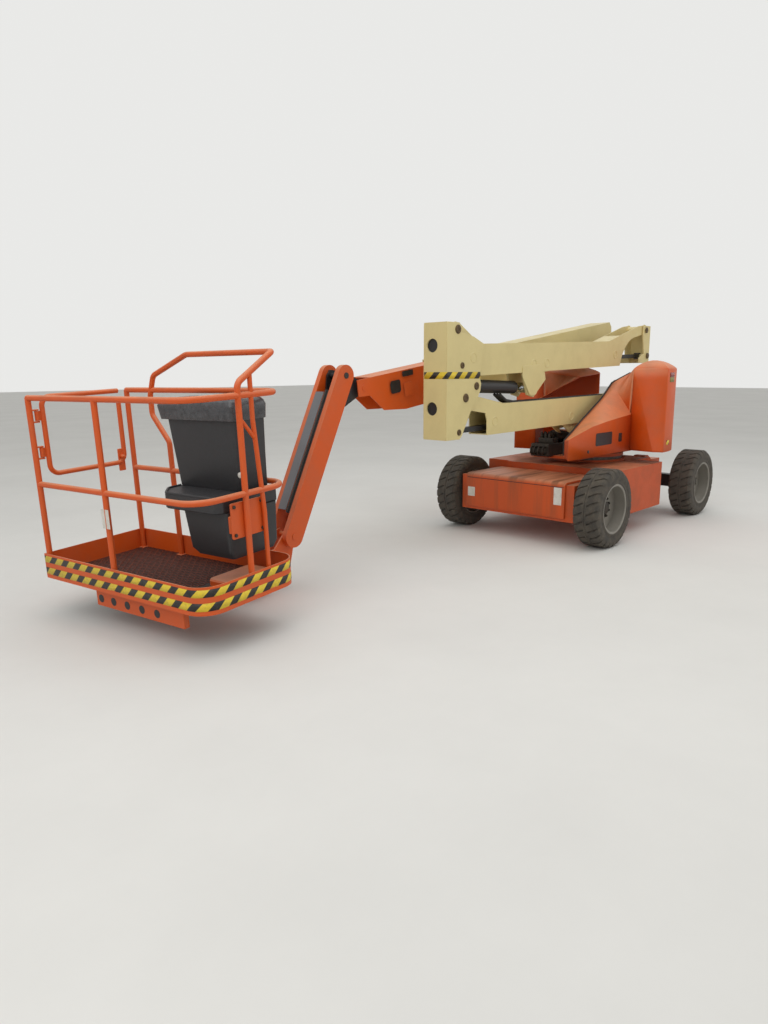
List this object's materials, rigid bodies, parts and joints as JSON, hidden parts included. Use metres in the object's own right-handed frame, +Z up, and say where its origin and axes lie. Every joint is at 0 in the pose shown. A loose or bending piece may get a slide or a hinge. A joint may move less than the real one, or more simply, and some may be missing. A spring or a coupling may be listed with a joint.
{
  "type": "articulating boom lift",
  "caption": "Wheeled aerial work platform: a slewing turntable carries a two-stage folding tower, a telescopic boom and a jib with a gated basket.",
  "frame": {"origin": "on the floor under the middle of the whole machine as parked", "axes": "+X towards the platform and the drive axle, +Y to the machine's left as seen facing +X, +Z up"},
  "size_m": [6.56, 2.0205, 2.0731],
  "materials": {
    "orange": "satin",
    "cream": "satin",
    "black": "satin",
    "rim_grey": "satin",
    "tyre": "matte",
    "rod": "polished",
    "console": "matte",
    "weight": "matte",
    "steel": "satin",
    "floor": "matte"
  },
  "bodies": {
    "chassis": {"chassis_frame": "orange", "slew_bearing": "steel", "drive_end_cover": "orange", "battery_box_left": "orange", "battery_box_right": "orange", "battery_pack_left": "black", "battery_pack_right": "black", "drive_hub_left": "steel", "drive_hub_right": "steel", "steer_axle": "steel"},
    "drive_wheel_left": {"drive_tyre_left": "tyre", "drive_rim_left": "rim_grey"},
    "drive_wheel_right": {"drive_tyre_right": "tyre", "drive_rim_right": "rim_grey"},
    "knuckle_left": {"steer_knuckle_left": "steel"},
    "steer_wheel_left": {"steer_tyre_left": "tyre", "steer_rim_left": "rim_grey"},
    "knuckle_right": {"steer_knuckle_right": "steel"},
    "steer_wheel_right": {"steer_tyre_right": "tyre", "steer_rim_right": "rim_grey"},
    "turntable": {"turntable_frame": "orange", "counterweight": "weight"},
    "hood_left": {"hood_left": "orange"},
    "hood_right": {"hood_right": "orange"},
    "lower_boom": {"lower_tower_boom": "cream"},
    "lower_link": {"lower_tower_link": "black"},
    "mid_upright": {"mid_upright": "cream"},
    "upper_boom": {"upper_tower_boom": "cream"},
    "upper_link": {"upper_tower_link": "black"},
    "rear_upright": {"rear_upright": "cream"},
    "tower_cylinder_barrel": {"tower_cylinder_barrel": "black"},
    "tower_cylinder_rod": {"tower_cylinder_rod": "rod"},
    "tower_strut_barrel": {"tower_strut_barrel": "black"},
    "tower_strut_rod": {"tower_strut_rod": "rod"},
    "main_boom": {"main_boom_base": "cream"},
    "fly_boom": {"fly_boom": "orange"},
    "main_cylinder_barrel": {"main_cylinder_barrel": "black"},
    "main_cylinder_rod": {"main_cylinder_rod": "rod"},
    "jib_knuckle": {"jib_knuckle": "black"},
    "jib": {"jib_arms": "orange"},
    "jib_link": {"jib_link": "black"},
    "jib_cylinder_barrel": {"jib_cylinder_barrel": "black"},
    "jib_cylinder_rod": {"jib_cylinder_rod": "rod"},
    "platform_support": {"platform_support": "orange"},
    "platform": {"platform_mount": "black", "platform_floor": "floor", "toe_board": "orange", "platform_rails": "orange", "control_console": "console"},
    "gate": {"side_gate": "orange"}
  },
  "joints": [
    {"name": "drive_wheel_left_roll", "type": "hinge", "parent": "chassis", "child": "drive_wheel_left", "pos_m": [-0.886, 0.8795, 0.35], "axis": [0, 1, 0], "continuous": true},
    {"name": "drive_wheel_right_roll", "type": "hinge", "parent": "chassis", "child": "drive_wheel_right", "pos_m": [-0.886, -0.6105, 0.35], "axis": [0, 1, 0], "continuous": true},
    {"name": "steer_left", "type": "hinge", "parent": "chassis", "child": "knuckle_left", "pos_m": [-2.93, 0.7245, 0.35], "axis": [0, 0, 1], "range_deg": [-32, 32]},
    {"name": "steer_wheel_left_roll", "type": "hinge", "parent": "knuckle_left", "child": "steer_wheel_left", "pos_m": [-2.93, 0.8795, 0.35], "axis": [0, 1, 0], "continuous": true},
    {"name": "steer_right", "type": "hinge", "parent": "chassis", "child": "knuckle_right", "pos_m": [-2.93, -0.4555, 0.35], "axis": [0, 0, 1], "range_deg": [-32, 32]},
    {"name": "steer_wheel_right_roll", "type": "hinge", "parent": "knuckle_right", "child": "steer_wheel_right", "pos_m": [-2.93, -0.6105, 0.35], "axis": [0, 1, 0], "continuous": true},
    {"name": "slew", "type": "hinge", "parent": "chassis", "child": "turntable", "pos_m": [-1.958, 0.1345, 0.69], "axis": [0, 0, 1], "range_deg": [-177.5, 177.5]},
    {"name": "hood_left_open", "type": "hinge", "parent": "turntable", "child": "hood_left", "pos_m": [-2.753, 0.4045, 0.76], "axis": [0, 0, 1], "range_deg": [0, 70]},
    {"name": "hood_right_open", "type": "hinge", "parent": "turntable", "child": "hood_right", "pos_m": [-2.753, -0.1355, 0.76], "axis": [0, 0, -1], "range_deg": [0, 70]},
    {"name": "tower_lift", "type": "hinge", "parent": "turntable", "child": "lower_boom", "pos_m": [-2.62779, 0.2245, 1.3762], "axis": [0, -1, 0], "range_deg": [0, 68]},
    {"name": "lower_link_swing", "type": "hinge", "parent": "turntable", "child": "lower_link", "pos_m": [-2.54779, 0.2245, 1.1112], "axis": [0, -1, 0], "range_deg": [0, 68]},
    {"name": "mid_upright_level", "type": "hinge", "parent": "lower_boom", "child": "mid_upright", "pos_m": [0.422, 0.2245, 1.34], "axis": [0, -1, 0], "range_deg": [-68, 0]},
    {"name": "upper_boom_lift", "type": "hinge", "parent": "mid_upright", "child": "upper_boom", "pos_m": [0.532, 0.2245, 1.86], "axis": [0, 1, 0], "range_deg": [0, 68]},
    {"name": "upper_link_swing", "type": "hinge", "parent": "mid_upright", "child": "upper_link", "pos_m": [0.472, 0.2245, 1.59], "axis": [0, 1, 0], "range_deg": [0, 68]},
    {"name": "rear_upright_level", "type": "hinge", "parent": "upper_boom", "child": "rear_upright", "pos_m": [-2.80818, 0.2245, 1.97022], "axis": [0, 1, 0], "range_deg": [-68, 0]},
    {"name": "tower_cylinder_swing", "type": "hinge", "parent": "mid_upright", "child": "tower_cylinder_barrel", "pos_m": [0.282, 0.2245, 1.43], "axis": [0, 1, 0], "range_deg": [0, 67.8]},
    {"name": "tower_cylinder_stroke", "type": "slide", "parent": "tower_cylinder_barrel", "child": "tower_cylinder_rod", "axis": [-0.9993, 0, -0.0361], "range_m": [0, 0.5591]},
    {"name": "tower_strut_swing", "type": "hinge", "parent": "turntable", "child": "tower_strut_barrel", "pos_m": [-2.258, 0.2245, 0.85], "axis": [0, -1, 0], "range_deg": [0, 64.95]},
    {"name": "tower_strut_stroke", "type": "slide", "parent": "tower_strut_barrel", "child": "tower_strut_rod", "axis": [0.9873, 0, 0.1591], "range_m": [0, 0.7183]},
    {"name": "boom_lift", "type": "hinge", "parent": "rear_upright", "child": "main_boom", "pos_m": [-2.798, -0.2005, 1.9], "axis": [0, -1, 0], "range_deg": [0, 83]},
    {"name": "boom_extend", "type": "slide", "parent": "main_boom", "child": "fly_boom", "axis": [0.9898, 0, -0.1426], "range_m": [0, 1.25]},
    {"name": "main_cylinder_swing", "type": "hinge", "parent": "rear_upright", "child": "main_cylinder_barrel", "pos_m": [-2.708, 0.0225, 1.648], "axis": [0, -1, 0], "range_deg": [0, 77.41]},
    {"name": "main_cylinder_stroke", "type": "slide", "parent": "main_cylinder_barrel", "child": "main_cylinder_rod", "axis": [1, 0, 0.0088], "range_m": [0, 0.3382]},
    {"name": "knuckle_level", "type": "hinge", "parent": "fly_boom", "child": "jib_knuckle", "pos_m": [1.10466, -0.2005, 1.42855], "axis": [0, -1, 0], "range_deg": [-83, 0]},
    {"name": "jib_lift", "type": "hinge", "parent": "jib_knuckle", "child": "jib", "pos_m": [1.302, -0.2005, 1.52], "axis": [0, -1, 0], "range_deg": [0, 144]},
    {"name": "jib_link_swing", "type": "hinge", "parent": "jib_knuckle", "child": "jib_link", "pos_m": [1.342, -0.2005, 1.27], "axis": [0, -1, 0], "range_deg": [0, 144]},
    {"name": "jib_cylinder_swing", "type": "hinge", "parent": "jib_knuckle", "child": "jib_cylinder_barrel", "pos_m": [1.342, -0.1825, 1.27], "axis": [0, -1, 0], "range_deg": [0, 143.3]},
    {"name": "jib_cylinder_stroke", "type": "slide", "parent": "jib_cylinder_barrel", "child": "jib_cylinder_rod", "axis": [0.5046, 0, -0.8633], "range_m": [0, 0.4841]},
    {"name": "support_level", "type": "hinge", "parent": "jib", "child": "platform_support", "pos_m": [1.83192, -0.2005, 0.39894], "axis": [0, -1, 0], "range_deg": [-144, 0]},
    {"name": "platform_turn", "type": "hinge", "parent": "platform_support", "child": "platform", "pos_m": [2.05852, -0.2005, 0.09835], "axis": [0.0454, 0, 0.999], "range_deg": [-98, 82]},
    {"name": "gate_swing", "type": "hinge", "parent": "platform", "child": "gate", "pos_m": [3.2081, -0.89102, 1.14728], "axis": [-0.0454, 0, -0.999], "range_deg": [0, 90]}
  ],
  "couplings": [
    {"joint": "steer_right", "follows": "steer_left", "ratio": 1},
    {"joint": "lower_link_swing", "follows": "tower_lift", "ratio": 1},
    {"joint": "mid_upright_level", "follows": "tower_lift", "ratio": -1},
    {"joint": "upper_boom_lift", "follows": "tower_lift", "ratio": 1},
    {"joint": "upper_link_swing", "follows": "tower_lift", "ratio": 1},
    {"joint": "rear_upright_level", "follows": "tower_lift", "ratio": -1},
    {"joint": "tower_cylinder_swing", "follows": "tower_lift", "ratio": 0.98964},
    {"joint": "tower_cylinder_stroke", "follows": "tower_lift", "m_per_rad": 0.46858},
    {"joint": "tower_strut_swing", "follows": "tower_lift", "ratio": 0.94777},
    {"joint": "tower_strut_stroke", "follows": "tower_lift", "m_per_rad": 0.6027},
    {"joint": "main_cylinder_swing", "follows": "boom_lift", "ratio": 0.92662},
    {"joint": "main_cylinder_stroke", "follows": "boom_lift", "m_per_rad": 0.23136},
    {"joint": "knuckle_level", "follows": "boom_lift", "ratio": -1},
    {"joint": "jib_link_swing", "follows": "jib_lift", "ratio": 1},
    {"joint": "jib_cylinder_swing", "follows": "jib_lift", "ratio": 0.99167},
    {"joint": "jib_cylinder_stroke", "follows": "jib_lift", "m_per_rad": 0.19142},
    {"joint": "support_level", "follows": "jib_lift", "ratio": -1}
  ]
}
